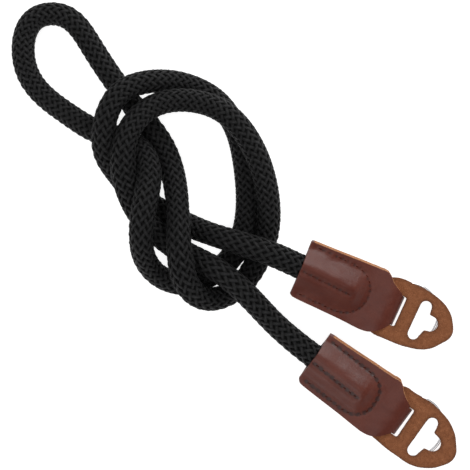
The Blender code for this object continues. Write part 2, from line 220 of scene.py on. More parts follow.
# The rope's route between the two mouths, in millimetres, with its girth as a
# share of ROPE_D where a crossing presses it.
ROUTE = (
    # x, y, z, girth
    (-50.0, 44.5, 16.2, 0.97),
    (-62.2, 48.6, 16.3, 0.97),
    (-73.6, 52.2, 12.7, 1.00),
    (-85.0, 56.5, 6.3, 0.96),
    (-97.0, 62.5, 5.1, 0.92),
    (-107.5, 69.5, 4.8, 0.88),
    (-115.5, 78.5, 5.6, 0.90),
    (-121.5, 88.5, 12.5, 0.95),
    (-122.0, 96.5, 16.2, 0.98),
    (-114.5, 114.0, 16.2, 1.00),
    (-102.0, 119.2, 12.0, 1.00),
    (-86.9, 118.5, 6.2, 1.00),
    (-73.8, 111.7, 5.2, 0.97),
    (-64.4, 98.1, 5.1, 1.00),
    (-60.9, 83.0, 5.1, 1.00),
    (-60.0, 61.0, 5.1, 0.98),
    (-65.0, 45.1, 5.1, 0.96),
    (-75.4, 35.2, 5.1, 0.98),
    (-85.8, 31.3, 5.1, 0.95),
    (-96.2, 33.2, 6.0, 1.00),
    (-103.8, 41.3, 12.8, 1.00),
    (-105.5, 51.5, 20.6, 0.97),
    (-104.5, 61.5, 22.6, 0.92),
    (-102.3, 75.0, 18.6, 0.92),
    (-104.0, 86.0, 12.1, 0.95),
    (-110.5, 93.0, 6.3, 0.97),
    (-123.0, 97.0, 5.0, 0.95),
    (-139.4, 106.2, 5.1, 1.00),
    (-153.8, 119.1, 5.1, 1.00),
    (-158.3, 133.5, 5.1, 1.00),
    (-153.0, 147.5, 5.1, 1.00),
    (-141.0, 149.0, 5.1, 1.00),
    (-128.7, 136.2, 5.1, 1.00),
    (-118.2, 120.2, 5.1, 1.00),
    (-107.8, 106.7, 5.3, 1.00),
    (-96.7, 91.2, 5.3, 0.95),
    (-91.9, 77.5, 9.5, 0.95),
    (-89.7, 61.0, 17.0, 1.00),
    (-88.8, 44.0, 22.0, 0.90),
    (-85.4, 30.6, 17.9, 0.90),
    (-76.3, 24.5, 10.4, 0.96),
    (-64.4, 28.8, 5.5, 1.00),
    (-55.3, 41.1, 5.6, 0.94),
    (-50.7, 55.5, 7.7, 0.97),
    (-51.2, 72.0, 12.3, 1.00),
    (-58.5, 92.5, 16.1, 1.00),
    (-69.9, 105.5, 15.9, 1.00),
    (-85.2, 110.7, 14.8, 1.00),
    (-100.0, 108.5, 14.8, 1.00),
    (-111.0, 97.0, 17.9, 0.97),
    (-113.5, 83.5, 17.4, 0.90),
    (-111.5, 72.5, 14.3, 0.88),
    (-106.0, 61.0, 12.5, 0.90),
    (-96.5, 51.0, 10.6, 0.95),
    (-87.0, 44.5, 10.0, 0.93),
    (-73.8, 37.9, 16.5, 0.96),
    (-61.7, 28.3, 15.8, 0.97),
    (-46.5, 12.5, 8.6, 1.00),
)

# The cover's outline and swelling. along is a share of COVER_L, left and right
# are shares of SHOULDER_HALF, and bulge is a share of the rope's swelling.
COVER_SECTIONS = np.array((
    # along, left, right, bulge
    (0.000, 0.865, 0.895, 1.00),
    (0.030, 0.885, 0.935, 1.00),
    (0.280, 0.925, 0.955, 1.00),
    (0.480, 0.965, 0.965, 1.00),
    (0.530, 0.970, 0.970, 0.95),
    (0.570, 0.975, 0.975, 0.77),
    (0.605, 0.980, 0.980, 0.48),
    (0.640, 0.990, 0.990, 0.22),
    (0.685, 0.995, 0.995, 0.05),
    (0.735, 1.000, 1.000, 0.00),
    (0.780, 0.965, 0.985, 0.00),
    (0.815, 0.880, 0.965, 0.00),
    (0.850, 0.765, 0.925, 0.00),
    (0.885, 0.690, 0.860, 0.00),
    (0.920, 0.630, 0.770, 0.00),
    (0.950, 0.590, 0.670, 0.00),
    (0.980, 0.530, 0.545, 0.00),
    (1.000, 0.475, 0.475, 0.00),
))

# Stitches. One row runs straight from the mouth, half round an oval over the rope's
# end and straight back. The other is straight, along the rope's middle.
STITCH_PITCH = 2.9 * MM
STITCH_SLANT = radians(14)
STITCH_SLANT_VARIES = 0.35
STITCH_STRAY = 0.5 * MM
STRAY_SCALE = 0.7
BEAD_HALF = 0.27  # half a bead, as a share of the way between two holes
BEAD_VARIES = 0.12
THREAD_HALF_WIDE = 0.34 * MM
THREAD_HALF_THICK = 0.28 * MM
THREAD_PULL = 0.8  # how much of a pucker the thread follows
STITCH_SINK = {"a": 0.18 * MM, "b": 0.13 * MM}  # the thread's middle below the leather's face
STITCH_DARKENING = {"a": 0.6, "b": 1.0}  # how dark the leather is round the thread, as a share
LOOP_START = 2.7 * MM
LOOP_SIDES = {"a": (10.6 * MM, -11.2 * MM), "b": (9.6 * MM, -10.8 * MM)}  # across, at the mouth
OVAL_POINTS = 41
OVAL_START = 20.0 * MM
OVAL_REACH = 11.9 * MM
OVAL_HALF = {"a": 11.0 * MM, "b": 10.3 * MM}
OVAL_ASIDE = {"a": -0.4 * MM, "b": -1.1 * MM}
OVAL_FULLNESS = {"a": 1.0, "b": 0.8}  # an even oval has 1, and less makes fuller shoulders
MIDDLE_ROW = {
    # along and across where it starts and where it ends
    "a": ((1.6 * MM, -1.5 * MM), (24.2 * MM, -2.2 * MM)),
    "b": ((1.4 * MM, -2.3 * MM), (24.0 * MM, -3.2 * MM)),
}

# Pads, in millimetres from the slit's middle. Both are cut by hand, so they differ
# a little, and each outline is a smooth curve through a few points.
PAD_OUTLINE = {
    # along, across
    "a": (
        (-13.8, -1.0), (-12.6, 8.5), (-8.0, 12.8), (3.0, 13.8), (13.0, 12.8), (20.0, 9.8), (24.0, 5.5),
        (26.0, 0.0), (23.0, -5.5), (18.5, -10.0), (10.0, -12.8), (0.0, -13.5), (-8.0, -13.0), (-12.8, -8.5),
    ),
    "b": (
        (-13.2, -1.0), (-12.2, 9.5), (-8.0, 13.3), (-2.0, 13.7), (5.0, 13.9), (13.0, 13.0), (20.0, 10.3),
        (25.5, 5.3), (28.4, -0.5), (25.0, -7.3), (20.5, -11.1), (14.0, -13.7), (7.0, -13.9),
        (-3.0, -13.3), (-10.4, -11.4), (-12.8, -7.0),
    ),
}
PAD_CURVE_STEPS = 20
SLIT = {
    # back edge and front edge along, half its length across
    "a": (-3.3, 1.1, 6.9),
    "b": (-2.5, 2.1, 7.0),
}
SLIT_CORNER_R = 0.8
# The T-shaped hole: a bar with two round ends and a round lobe towards the tip, with
# a sharp neck on each side between them.
HOLE_ROUNDS = {
    # the bar's one end, the lobe and the bar's other end: along, across, radius
    "a": ((10.4, 6.8, 2.7), (15.3, 0.8, 3.4), (10.2, -6.2, 2.6)),
    "b": ((11.7, 6.6, 2.7), (17.0, -0.4, 3.6), (11.3, -7.6, 2.7)),
}
HOLE_NECKS = {
    # along, across
    "a": ((13.4, 4.3), (13.9, -3.0)),
    "b": ((14.8, 3.8), (15.0, -4.3)),
}
ARC_STEPS = 12
CUT_STEP = 0.5  # the longest stretch between two points of a cut edge

# The pads' nap: uneven all over, and darker and hairier along the cut edges
PAD_VOXEL = 0.30 * MM
PAD_SEED = {"a": 31.0, "b": 47.0}
NAP_REACH = 0.9 * MM  # of what the edges do
ROUGH_SCALE = 1.6
ROUGH_HEIGHT = 0.05  # in millimetres, as the hair's is
HAIR_SCALE = 4.5
HAIR_HEIGHT = 0.03
HAIR_AT_EDGE = 0.10


def smoothstep(start, end, value):
    share = np.clip((value - start) / (end - start), 0.0, 1.0)
    return share * share * (3 - 2 * share)


def fade(bounds, value):
    """1 before the two bounds, 0 past them and smooth between."""
    return 1 - smoothstep(*bounds, value)


def natural_spline(stations, samples):
    """Points on the smooth curve through the stations, in even steps of its chords."""
    stations = np.asarray(stations, dtype=float)
    chords = np.linalg.norm(np.diff(stations[:, :3], axis=0), axis=1)
    knots = np.concatenate([[0.0], np.cumsum(chords)])
    count = len(stations)
    system = np.eye(count)
    wanted = np.zeros_like(stations)
    for i in range(1, count - 1):
        before, after = chords[i - 1], chords[i]
        system[i, i - 1 : i + 2] = before, 2 * (before + after), after
        slope_after = (stations[i + 1] - stations[i]) / after
        slope_before = (stations[i] - stations[i - 1]) / before
        wanted[i] = 6 * (slope_after - slope_before)
    bends = np.linalg.solve(system, wanted)
    places = np.linspace(0.0, knots[-1], samples)
    span = np.clip(np.searchsorted(knots, places, side="right") - 1, 0, count - 2)
    chord = chords[span][:, None]
    to_next = (knots[span + 1] - places)[:, None]
    from_last = (places - knots[span])[:, None]
    return (
        bends[span] * to_next**3 / (6 * chord)
        + bends[span + 1] * from_last**3 / (6 * chord)
        + (stations[span] / chord - bends[span] * chord / 6) * to_next
        + (stations[span + 1] / chord - bends[span + 1] * chord / 6) * from_last
    )


def along_line(points):
    """How far along the line each of its points is."""
    steps = np.linalg.norm(np.diff(points[:, :3], axis=0), axis=1)
    return np.concatenate([[0.0], np.cumsum(steps)])


def evenly(points, count):
    """As many points in even steps along the line."""
    length = along_line(points)
    places = np.linspace(0.0, length[-1], count)
    columns = [np.interp(places, length, points[:, k]) for k in range(points.shape[1])]
    return np.stack(columns, axis=1)


def end_place(end):
    """An end's place on the floor: its mouth's middle and its heading."""
    mouth, heading, _, _ = ENDS[end]
    stand = Matrix.Translation((mouth[0], mouth[1], 0.0)) @ Matrix.Rotation(heading, 4, "Z")
    return LAY @ stand


def pad_place(end, ahead=0.0, aside=0.0, height=PAD_Z):
    """Where the pad or the ring lies, turned on the cover's fold and dipping to the tip."""
    swing = ENDS[end][3]
    spot = (
        SLIT_U + ahead * cos(swing) - aside * sin(swing),
        ahead * sin(swing) + aside * cos(swing),
        height - PITCH_SLOPE * ahead,
    )
    return end_place(end) @ Matrix.Translation(spot) @ Euler((0.0, PITCH, swing)).to_matrix().to_4x4()


def new_object(name, data):
    made = bpy.data.objects.new(name, data)
    bpy.context.scene.collection.objects.link(made)
    return made


def note_at_points(mesh, name, values):
    """Keeps one number for each point of the mesh, which its finish reads."""
    mesh.attributes.new(name, "FLOAT", "POINT").data.foreach_set("value", values)


def add_piece(name, mesh, node, finishes):
    """A finished piece at the origin, which stands for the node."""
    piece = new_object(name, mesh)
    for i, finish in enumerate(finishes):
        if i < len(mesh.materials):
            mesh.materials[i] = finish
        else:
            mesh.materials.append(finish)
    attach(piece, ROOT)
    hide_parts(node)
    return piece


def mesh_of(name, source):
    """The mesh of a curve or of an object with modifiers, as it shows."""
    graph = bpy.context.evaluated_depsgraph_get()
    mesh = bpy.data.meshes.new_from_object(source.evaluated_get(graph), depsgraph=graph)
    mesh.name = name
    bpy.data.batch_remove([source, source.data])
    return mesh


def wire_object(name, lines, radius, resolution, capped=True):
    """A curve object of wires along the lines, with 4 + 2 * resolution sides each."""
    curve = bpy.data.curves.new(name, "CURVE")
    curve.dimensions = "3D"
    curve.bevel_depth = radius
    curve.bevel_resolution = resolution
    curve.use_fill_caps = capped
    for line in lines:
        spline = curve.splines.new("POLY")
        spline.points.add(len(line) - 1)
        homogeneous = np.column_stack([line, np.ones(len(line))])
        spline.points.foreach_set("co", homogeneous.ravel())
    return new_object(name, curve)


def merge_points(mesh, apart):
    """Makes one point of those that lie no further apart."""
    made = bmesh.new()
    made.from_mesh(mesh)
    bmesh.ops.remove_doubles(made, verts=made.verts[:], dist=apart)
    made.to_mesh(mesh)
    made.free()


def close_ends(mesh, corners):
    """Fills the open ends of the tubes in a mesh."""
    made = bmesh.new()
    made.from_mesh(mesh)
    open_edges = [edge for edge in made.edges if edge.is_boundary]
    bmesh.ops.holes_fill(made, edges=open_edges, sides=corners)
    made.to_mesh(mesh)
    made.free()
    mesh.shade_smooth()


# Camera, floor and lights


def make_camera():
    camera = new_object("camera", bpy.data.cameras.new("camera"))
    camera.location = LAY @ Vector((*CAMERA_OVER, CAMERA_HEIGHT))
    camera.rotation_euler = (0.0, 0.0, LAY_TURN)
    camera.data.sensor_width = SENSOR
    camera.data.lens = SENSOR * (CAMERA_HEIGHT - ROPE_D / 2) / PICTURE_SIDE
    camera.data.clip_start = 0.01
    bpy.context.scene.camera = camera


def make_floor():
    made = bmesh.new()
    bmesh.ops.create_grid(made, x_segments=1, y_segments=1, size=FLOOR_HALF)
    mesh = bpy.data.meshes.new("floor")
    made.to_mesh(mesh)
    made.free()
    floor = new_object("floor", mesh)
    paper, _, shader = new_finish("floor_paper", roughness=0.9, specular=0.1)
    shader.inputs["Base Color"].default_value = (0.45, 0.45, 0.45, 1.0)
    shader.inputs["Emission Color"].default_value = (1.0, 1.0, 1.0, 1.0)
    shader.inputs["Emission Strength"].default_value = 0.88
    mesh.materials.append(paper)


def make_light(name, right, up, height, size, power):
    """A soft box that looks at the knot, placed in the picture's own directions."""
    light = bpy.data.lights.new(name, "AREA")
    light.shape = "SQUARE"
    light.size = size
    light.energy = power
    box = new_object(name, light)
    target = LAY @ Vector((*CAMERA_OVER, 0.0))
    turned = Matrix.Rotation(LAY_TURN, 3, "Z") @ Vector((right, up, height))
    box.location = target + turned
    box.rotation_euler = turned.to_track_quat("Z", "Y").to_euler()


def make_tent():
    """A white tent all round, dim half-way up and bright straight overhead."""
    world = bpy.data.worlds.new("light_tent")
    world.use_nodes = True
    tree = world.node_tree
    cloth = tree.nodes["Background"]
    direction = add_node(tree, "ShaderNodeTexCoord").outputs["Generated"]
    split = add_node(tree, "ShaderNodeSeparateXYZ")
    tree.links.new(direction, split.inputs[0])
    tree.links.new(add_ramp(tree, split.outputs["Z"], TENT_SHADES), cloth.inputs["Color"])
    cloth.inputs["Strength"].default_value = TENT_STRENGTH
    bpy.context.scene.world = world


def make_lights():
    make_tent()
    make_light("soft_box_upper_right", right=0.54, up=0.86, height=0.55, size=0.55, power=7.8)
    make_light("soft_box_lower_left", right=-0.60, up=-0.75, height=0.70, size=0.80, power=4.5)


# Finishes


def new_finish(name, roughness, specular, metallic=0.0):
    """A material with its shader's plain values set, its tree and its shader."""
    finish = bpy.data.materials.new(name)
    finish.use_nodes = True
    tree = finish.node_tree
    shader = tree.nodes["Principled BSDF"]
    shader.inputs["Roughness"].default_value = roughness
    shader.inputs["Specular IOR Level"].default_value = specular
    shader.inputs["Metallic"].default_value = metallic
    return finish, tree, shader


def add_node(tree, kind, **settings):
    node = tree.nodes.new(kind)
    for name, value in settings.items():
        setattr(node, name, value)
    return node


def feed_socket(tree, socket, value):
    """Sets the socket to a number, or links what makes its value."""
    if isinstance(value, (int, float)):
        socket.default_value = value
    else:
        tree.links.new(value, socket)


def feed(tree, node, **values):
    for name, value in values.items():
        feed_socket(tree, node.inputs[name], value)


def add_noise(tree, vector, scale, detail=3.0, roughness=0.55):
    node = add_node(tree, "ShaderNodeTexNoise")
    feed(tree, node, Vector=vector, Scale=scale, Detail=detail, Roughness=roughness)
    return node.outputs["Fac"]


def add_math(tree, operation, first, second=0.0, clamp=False):
    node = add_node(tree, "ShaderNodeMath", operation=operation, use_clamp=clamp)
    feed_socket(tree, node.inputs[0], first)
    feed_socket(tree, node.inputs[1], second)
    return node.outputs[0]


def add_ramp(tree, factor, stops):
    """Colours along a ramp; stops are pairs of a place and a colour, or one number for a grey."""
    node = add_node(tree, "ShaderNodeValToRGB")
    ramp = node.color_ramp
    while len(ramp.elements) < len(stops):
        ramp.elements.new(1.0)
    for element, (place, colour) in zip(ramp.elements, stops):
        element.position = place
        element.color = (colour, colour, colour, 1.0) if isinstance(colour, float) else (*colour, 1.0)
    tree.links.new(factor, node.inputs["Fac"])
    return node.outputs["Color"]


def shade(tree, shader, name, factor, stops):
    """A ramp that sets the shader's value of that name."""
    tree.links.new(add_ramp(tree, factor, stops), shader.inputs[name])


def add_mix(tree, share, colour, other):
    """The colour, turned into the other one by a share."""
    node = add_node(tree, "ShaderNodeMix", data_type="RGBA")
    feed(tree, node, Factor=share, A=colour)
    node.inputs["B"].default_value = (*other, 1.0)
    return node.outputs["Result"]


def add_bump(tree, shader, height, distance, strength=1.0):
    node = add_node(tree, "ShaderNodeBump")
    feed(tree, node, Height=height, Strength=strength, Distance=distance)
    tree.links.new(node.outputs["Normal"], shader.inputs["Normal"])


def effect_group(name, numbers, result):
    """A node group that takes a vector and named numbers, and gives one number."""
    tree = bpy.data.node_groups.new(name, "ShaderNodeTree")
    tree.interface.new_socket("Vector", in_out="INPUT", socket_type="NodeSocketVector")
    for label in numbers:
        tree.interface.new_socket(label, in_out="INPUT", socket_type="NodeSocketFloat")
    tree.interface.new_socket(result, in_out="OUTPUT", socket_type="NodeSocketFloat")
    entry = tree.nodes.new("NodeGroupInput")
    leave = tree.nodes.new("NodeGroupOutput")
    return tree, entry.outputs, leave.inputs[result]


def place_group(tree, group, **values):
    node = add_node(tree, "ShaderNodeGroup", node_tree=group)
    feed(tree, node, **values)
    return node.outputs


def make_mottle_group():
    """Large soft blotches with fine specks in them, as dye takes in leather."""
    tree, given, mask = effect_group("dye_mottle", ("Blotches", "Specks"), "Mask")
    blotches = add_noise(tree, given["Vector"], given["Blotches"], detail=2.0, roughness=0.5)
    specks = add_noise(tree, given["Vector"], given["Specks"], detail=4.0, roughness=0.5)
    large = add_math(tree, "MULTIPLY", blotches, 0.65)
    small = add_math(tree, "MULTIPLY", specks, 0.35)
    total = add_math(tree, "ADD", large, small)
    tree.links.new(total, mask)
    return tree


def make_grain_group():
    """Pores and the small cells between them, as a height."""
    tree, given, height = effect_group("leather_grain", ("Cells", "Fibres"), "Height")
    cells = add_node(tree, "ShaderNodeTexVoronoi", feature="SMOOTH_F1")
    feed(tree, cells, Vector=given["Vector"], Scale=given["Cells"], Smoothness=0.4)
    fibres = add_noise(tree, given["Vector"], given["Fibres"], detail=5.0, roughness=0.65)
    total = add_math(tree, "ADD", cells.outputs["Distance"], fibres)
    tree.links.new(total, height)
    return tree


def object_coordinates(tree):
    return add_node(tree, "ShaderNodeTexCoord").outputs["Object"]


def noted(tree, name):
    """What note_at_points keeps under that name."""
    return add_node(tree, "ShaderNodeAttribute", attribute_name=name).outputs["Fac"]


def make_strand_finish():
    """Black filament yarn with painted light and shade: soft grey where a strand stands proud, black
    between.
    """
    finish, tree, shader = new_finish("strand_black_painted_shade", roughness=0.50, specular=0.17)
    braid = add_node(tree, "ShaderNodeUVMap", uv_map="braid").outputs["UV"]
    split = add_node(tree, "ShaderNodeSeparateXYZ")
    tree.links.new(braid, split.inputs[0])
    around, along = split.outputs["X"], split.outputs["Y"]
    slant = add_math(tree, "MULTIPLY", along, 0.35)
    lay = add_math(tree, "ADD", add_math(tree, "MULTIPLY", around, 12.0), slant)
    filaments = add_math(tree, "SINE", add_math(tree, "MULTIPLY", lay, tau))
    place = object_coordinates(tree)
    fuzz = add_noise(tree, place, scale=2600.0, detail=4.0)
    height = add_math(tree, "ADD", add_math(tree, "MULTIPLY", filaments, 0.3), fuzz)
    add_bump(tree, shader, height, distance=0.00014, strength=0.9)
    proud = noted(tree, "proud")
    patchy = add_math(tree, "MULTIPLY", add_noise(tree, place, scale=760.0, detail=4.0, roughness=0.7), 0.56)
    # Painted light and shade: lighter on the strands' proud crests and near black where they dip under
    # others, with random patches
    painted_crest_and_gap_tone = add_math(tree, "ADD", add_math(tree, "SUBTRACT", proud, 0.29), patchy)
    stops = [(0.50, 0.0008), (0.76, (0.0052, 0.0052, 0.0054)), (1.0, (0.0196, 0.0196, 0.0202))]
    shade(tree, shader, "Base Color", painted_crest_and_gap_tone, stops)
    shade(tree, shader, "Roughness", proud, [(0.5, 0.85), (1.0, 0.48)])
    return finish


def make_core_finish():
    finish, tree, shader = new_finish("core_black_painted_shade", roughness=0.9, specular=0.1)
    fuzz = add_noise(tree, object_coordinates(tree), scale=900.0)
    # Near black, darker than any yarn: the core's own black deepened as painted shade where it shows between
    # strands
    stops = [(0.3, (0.0004, 0.0004, 0.0005)), (0.7, (0.0010, 0.0010, 0.0011))]
    shade(tree, shader, "Base Color", fuzz, stops)
    add_bump(tree, shader, fuzz, distance=0.0001)
    return finish


def make_cover_finish(mottle, grain):
    """Smooth dark brown leather, blotched, and darker round the thread."""
    finish, tree, shader = new_finish("cover_grain_side", roughness=0.40, specular=0.355)
    place = object_coordinates(tree)
    mask = place_group(tree, mottle, Vector=place, Blotches=95.0, Specks=900.0)["Mask"]
    stops = [(0.30, (0.080, 0.0126, 0.0062)), (0.52, (0.100, 0.0184, 0.0092))]
    stops.append((0.72, (0.121, 0.0262, 0.0145)))
    colour = add_ramp(tree, mask, stops)
    stitched = noted(tree, "near_stitch")
    blotched = add_math(tree, "MULTIPLY", stitched, add_noise(tree, place, scale=620.0, roughness=0.7))
    dark = add_ramp(tree, blotched, [(0.22, 0.0), (0.46, 0.88)])
    darkened = add_mix(tree, dark, colour, (0.030, 0.0085, 0.0065))
    tree.links.new(darkened, shader.inputs["Base Color"])
    shade(tree, shader, "Roughness", mask, [(0.3, 0.38), (0.7, 0.48)])
    height = place_group(tree, grain, Vector=place, Cells=1500.0, Fibres=700.0)["Height"]
    add_bump(tree, shader, height, distance=0.00006, strength=0.55)
    return finish


def make_edge_finish(grain):
    """Raw cut edge, tan with fibres."""
    finish, tree, shader = new_finish("cover_cut_edge", roughness=0.8, specular=0.25)
    place = object_coordinates(tree)
    fibres = add_noise(tree, place, scale=1500.0, detail=5.0)
    stops = [(0.28, (0.20, 0.075, 0.032)), (0.52, (0.40, 0.175, 0.075)), (0.75, (0.54, 0.27, 0.13))]
    shade(tree, shader, "Base Color", fibres, stops)
    height = place_group(tree, grain, Vector=place, Cells=2200.0, Fibres=1800.0)["Height"]
    add_bump(tree, shader, height, distance=0.00012, strength=0.8)
    return finish


def make_suede_finish(mottle, grain):
    """Matt tan-brown split leather, darker and hairier towards its cut edges."""
    finish, tree, shader = new_finish("pad_suede_nap", roughness=0.92, specular=0.18)
    place = object_coordinates(tree)
    mask = place_group(tree, mottle, Vector=place, Blotches=650.0, Specks=3000.0)["Mask"]
    stops = [(0.32, (0.205, 0.071, 0.028)), (0.50, (0.248, 0.089, 0.036)), (0.68, (0.305, 0.116, 0.050))]
    colour = add_ramp(tree, mask, stops)
    edge = noted(tree, "near_edge")
    ragged = add_math(tree, "MULTIPLY", edge, add_noise(tree, place, scale=1100.0, detail=5.0), clamp=True)
    dark = add_math(tree, "MULTIPLY", ragged, 1.25, clamp=True)
    tree.links.new(add_mix(tree, dark, colour, (0.070, 0.024, 0.010)), shader.inputs["Base Color"])
    height = place_group(tree, grain, Vector=place, Cells=1300.0, Fibres=1500.0)["Height"]
    add_bump(tree, shader, height, distance=0.00022, strength=0.8)
    shader.inputs["Sheen Weight"].default_value = 0.12
    shader.inputs["Sheen Roughness"].default_value = 0.5
    return finish


def make_thread_finish():
    finish, tree, shader = new_finish("thread_dark", roughness=0.9, specular=0.05)
    fuzz = add_noise(tree, object_coordinates(tree), scale=2200.0)
    stops = [(0.3, (0.038, 0.0068, 0.0036)), (0.7, (0.078, 0.0170, 0.0100))]
    shade(tree, shader, "Base Color", fuzz, stops)
    add_bump(tree, shader, fuzz, distance=0.0001)
    return finish


def make_ring_finish():
    finish, tree, shader = new_finish("ring_nickel", roughness=0.14, specular=0.5, metallic=1.0)
    wear = add_noise(tree, object_coordinates(tree), scale=700.0)
    shade(tree, shader, "Base Color", wear, [(0.3, (0.66, 0.66, 0.67)), (0.7, (0.82, 0.82, 0.84))])
    shade(tree, shader, "Roughness", wear, [(0.3, 0.10), (0.8, 0.24)])
    return finish


# Rope


def rope_line(end, depth):
    """A point on the rope's straight stretch in its cover, this deep past the mouth."""
    mouth, _, climb, _ = ENDS[end]
    local = Vector((depth * cos(climb), 0.0, mouth[2] - depth * sin(climb)))
    return end_place(end) @ local


def rope_centreline():
    """The rope's even centreline and its girth, in the strap's place on the floor."""
    depths = (ROPE_IN_COVER, ROPE_IN_COVER / 2, 0.0)
    into_a = [(*rope_line("a", depth), 1.0) for depth in depths]
    into_b = [(*rope_line("b", depth), 1.0) for depth in depths[::-1]]
    free = [(*(LAY @ Vector((x * MM, y * MM, z * MM))), girth) for x, y, z, girth in ROUTE]
    fine = natural_spline(into_a + free + into_b, 3 * STRAND_POINTS)
    return evenly(fine, STRAND_POINTS)


def rope_axes(line):
    """Each point's level sideways and upward directions, and the turn of the braid there."""
    heading = np.gradient(line[:, :3], axis=0)
    heading /= np.linalg.norm(heading, axis=1)[:, None]
    side = np.cross(heading, (0.0, 0.0, 1.0))
    side /= np.linalg.norm(side, axis=1)[:, None]
    top = np.cross(side, heading)
    turn = np.zeros(len(line))
    carried = side[0]
    for i in range(1, len(line)):
        carried = carried - heading[i] * np.dot(carried, heading[i])
        carried /= np.linalg.norm(carried)
        turn[i] = np.arctan2(np.dot(carried, top[i]), np.dot(carried, side[i]))
    return side, top, turn


def rope_section(line):
    """How wide and how high the rope is at each point, as shares of its round self."""
    length = along_line(line)
    girth = line[:, 3]
    from_mouth = np.minimum(length, length[-1] - length) - ROPE_IN_COVER
    near_mouth = fade((0.0, MOUTH_REACH), from_mouth)
    wide = 1 + PRESS_SPREAD * (1 - girth) + MOUTH_SPREAD * near_mouth
    sewn_in = smoothstep(0.0, PRESS_REACH, -from_mouth)
    return wide, girth * (1 - COVER_PRESS * sewn_in)


def strand_lines(line, hand, first):
    """The middles of every other strand of one hand, and the way out of the rope there."""
    side, top, turn = rope_axes(line)
    wide, high = rope_section(line)
    length = along_line(line)
    places, picks = np.array(PICKS).T * MM
    pick = np.interp(length - ROPE_IN_COVER, places, picks)
    turns = np.cumsum(np.gradient(length) / pick) / STRANDS_EACH_WAY
    advance = hand * tau * turns
    lines, outward, lifts = [], [], []
    for strand in range(first, STRANDS_EACH_WAY, 2):
        angle = tau * strand / STRANDS_EACH_WAY + advance
        wave = STRANDS_EACH_WAY / 2 * angle - pi / 4
        lift = hand * STRAND_LIFT * np.cos(wave)
        angle = angle + hand * STRAND_SWERVE * np.sin(wave) / (STRANDS_EACH_WAY / 2)
        across = (wide * np.cos(angle + turn))[:, None] * side
        upward = (high * np.sin(angle + turn))[:, None] * top
        out = across + upward
        lines.append(line[:, :3] + (STRAND_R + lift)[:, None] * out)
        outward.append(out / np.linalg.norm(out, axis=1)[:, None])
        lifts.append(lift)
    return np.array(lines), np.array(outward), np.array(lifts)


def flatten_strands(mesh, lines, outward, lift):
    """Presses each round strand flat against the rope and notes how proud it stands, which its finish paints
    as light and shade.
    """
    places = np.empty(len(mesh.vertices) * 3)
    mesh.vertices.foreach_get("co", places)
    rings = places.reshape(*lines.shape[:2], STRAND_SIDES, 3)
    offset = rings - lines[:, :, None, :]
    depth = np.einsum("srkc,src->srk", offset, outward)
    rings = rings - (1 - STRAND_FLAT) * depth[..., None] * outward[:, :, None, :]
    mesh.vertices.foreach_set("co", rings.ravel())
    height = lift[..., None] + STRAND_FLAT * depth
    most = STRAND_LIFT + STRAND_FLAT * STRAND_WIDTH / 2
    proud = np.clip(0.5 + 0.5 * height / most, 0.0, 1.0)
    note_at_points(mesh, "proud", proud.ravel())


def strand_uv(mesh, hand, step):
    """Unrolls every strand: across it in shares of its girth, along it in millimetres."""
    corners = np.empty(len(mesh.loops), dtype=np.int64)
    mesh.loops.foreach_get("vertex_index", corners)
    starts = np.empty(len(mesh.polygons), dtype=np.int64)
    mesh.polygons.foreach_get("loop_start", starts)
    face_of = np.searchsorted(starts, np.arange(len(corners)), side="right") - 1
    around = corners % STRAND_SIDES
    along = (corners // STRAND_SIDES) % STRAND_POINTS
    lowest = np.full(len(starts), STRAND_SIDES)
    highest = np.zeros(len(starts), dtype=np.int64)
    np.minimum.at(lowest, face_of, around)
    np.maximum.at(highest, face_of, around)
    over_seam = (highest - lowest == STRAND_SIDES - 1)[face_of] & (around == 0)
    around = around + STRAND_SIDES * over_seam
    layer = mesh.uv_layers.new(name="braid")
    pairs = np.stack([hand * around / STRAND_SIDES, along * step / MM], axis=1)
    layer.data.foreach_set("uv", pairs.ravel())


def make_rope():
    """The core, which is the cord, and the strands of each hand braided over it."""
    line = rope_centreline()
    step = along_line(line)[-1] / (STRAND_POINTS - 1)
    strand_black_painted_shade, core_black_painted_shade = make_strand_finish(), make_core_finish()
    for name, hand, first in SHEATHS:
        lines, outward, lift = strand_lines(line, hand, first)
        source = wire_object(name, lines, STRAND_WIDTH / 2, STRAND_SIDES // 2 - 2, capped=False)
        mesh = mesh_of(name, source)
        flatten_strands(mesh, lines, outward, lift)
        close_ends(mesh, STRAND_SIDES)
        strand_uv(mesh, hand, step)
        add_piece(name, mesh, "rope", [strand_black_painted_shade])
    middle = line[::CORE_EVERY]
    core = wire_object("rope_core", [middle[:, :3]], CORE_R, CORE_ROUNDNESS)
    for point, girth in zip(core.data.splines[0].points, middle[:, 3]):
        point.radius = girth
    core.data.materials.append(core_black_painted_shade)
    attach(core, ROOT)
    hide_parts("rope")


# Leather covers


def cover_sizes(u):
    """The cover's half widths on its left and right and its swelling, this far along."""
    share = u / COVER_L
    columns = [np.interp(share, COVER_SECTIONS[:, 0], COVER_SECTIONS[:, k]) for k in (1, 2, 3)]
    return columns[0] * SHOULDER_HALF, columns[1] * SHOULDER_HALF, columns[2]


def cover_strip_line(end):
    """The leather strip's outer side, along and up: from the mouth on top, round the
    nose and back to the mouth underneath."""
    mouth, _, climb, _ = ENDS[end]

    def seam(u):
        return mouth[2] / MM - tan(climb) * min(u, STACK_START / MM)

    thick = LEATHER / MM

    def over_pad(u):
        return (PAD_Z - PITCH_SLOPE * (u * MM - SLIT_U) + PAD_T / 2 + GAP / 3 + LEATHER) / MM

    reach = NOSE_REACH[end] / MM
    stations = [(u, seam(u) + thick) for u in FLAP_STATIONS]
    stations += [(ON_PAD[0], over_pad(ON_PAD[0]) + ON_PAD[1])]
    stations += [(reach - before, over_pad(reach) + above) for before, above in FOLD_TOP]
    stations += [(reach - before, height) for before, height in FOLD_UNDER]
    stations += UNDER_RING
    stations += [(u, seam(u) - thick) for u in UNDER_STATIONS]
    line = natural_spline([(u, w, 0.0) for u, w in stations], STRIP_SAMPLES)[:, :2] * MM
    return evenly(line, COVER_STEPS_LONG + 1)


